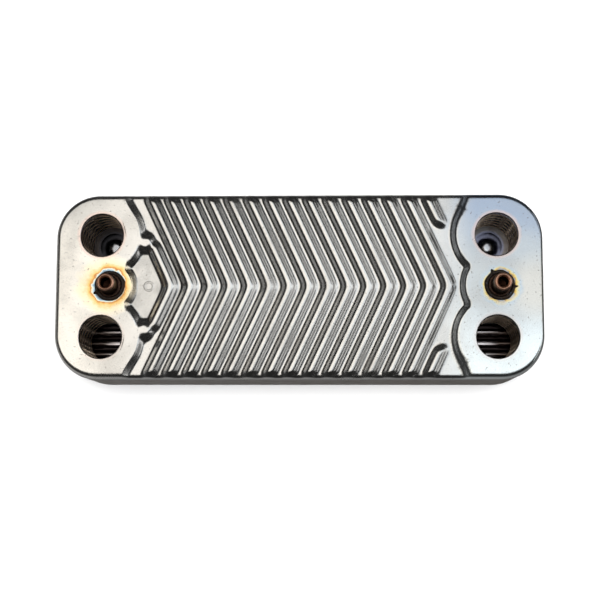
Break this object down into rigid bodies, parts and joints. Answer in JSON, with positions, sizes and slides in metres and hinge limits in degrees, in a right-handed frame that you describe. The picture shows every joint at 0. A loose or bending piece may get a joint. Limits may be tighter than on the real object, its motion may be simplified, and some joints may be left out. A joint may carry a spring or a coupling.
{
  "type": "plate heat exchanger",
  "caption": "Brazed heat exchanger of nested herringbone steel plates with four round ports and two threaded studs on its face.",
  "frame": {"origin": "centre of the plane that the rearmost skirt stands on", "axes": "+X along the plates, towards the end that the herringbone points to; +Y across them; +Z out of the ports"},
  "size_m": [0.191, 0.073, 0.0472],
  "materials": {
    "cover_steel": "brushed stainless steel, heat-tinted near the welds",
    "plate_steel": "furnace-brazed stainless steel, dull brown-grey at the edges",
    "braze_copper": "dull copper braze",
    "stud_steel": "copper-flashed steel",
    "weld_metal": "dark, scaled weld metal"
  },
  "bodies": {
    "root": {"front_cover_plate": "cover_steel", "channel_plate_01": "plate_steel", "channel_plate_02": "plate_steel", "channel_plate_03": "plate_steel", "channel_plate_04": "plate_steel", "channel_plate_05": "plate_steel", "channel_plate_06": "plate_steel", "channel_plate_07": "plate_steel", "channel_plate_08": "plate_steel", "channel_plate_09": "plate_steel", "channel_plate_10": "plate_steel", "channel_plate_11": "plate_steel", "closing_plate": "plate_steel", "rear_cover_plate": "cover_steel", "braze_seam_01": "braze_copper", "braze_seam_02": "braze_copper", "braze_seam_03": "braze_copper", "braze_seam_04": "braze_copper", "braze_seam_05": "braze_copper", "braze_seam_06": "braze_copper", "braze_seam_07": "braze_copper", "braze_seam_08": "braze_copper", "braze_seam_09": "braze_copper", "braze_seam_10": "braze_copper", "braze_seam_11": "braze_copper", "braze_seam_12": "braze_copper", "braze_seam_13": "braze_copper", "stud_left": "stud_steel", "stud_right": "stud_steel", "weld_bead_left": "weld_metal", "weld_bead_right": "weld_metal"}
  },
  "joints": []
}
